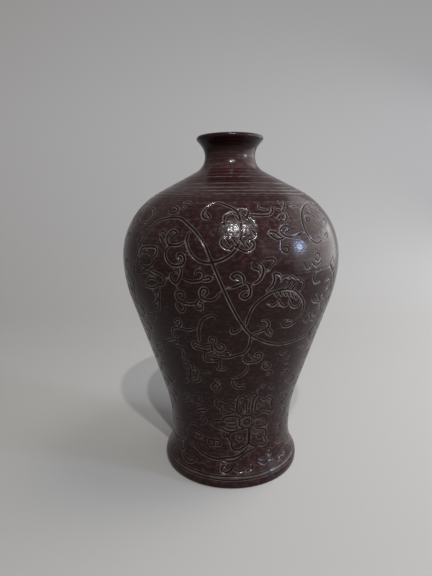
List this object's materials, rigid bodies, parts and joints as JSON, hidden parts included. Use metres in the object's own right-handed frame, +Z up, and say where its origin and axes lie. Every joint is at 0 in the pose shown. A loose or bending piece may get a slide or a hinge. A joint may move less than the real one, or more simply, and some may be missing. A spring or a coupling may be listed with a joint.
{
  "type": "meiping vase",
  "caption": "Glazed ceramic meiping vase with a high round shoulder, drawn-in waist, spreading foot and short flared mouth, for holding flower stems.",
  "frame": {"origin": "centre of the foot ring on the plane that the vase stands on", "axes": "+Z up along the vase's axis, from foot to mouth; +Y away from the viewer of the picture"},
  "size_m": [0.1742, 0.1742, 0.271],
  "materials": {
    "glazed_stoneware": "glossy",
    "slip": "matte"
  },
  "bodies": {
    "root": {"lower_section": "glazed_stoneware", "shoulder_section": "glazed_stoneware", "neck_section": "glazed_stoneware", "body_slip_joint": "slip", "neck_slip_joint": "slip"}
  },
  "joints": []
}
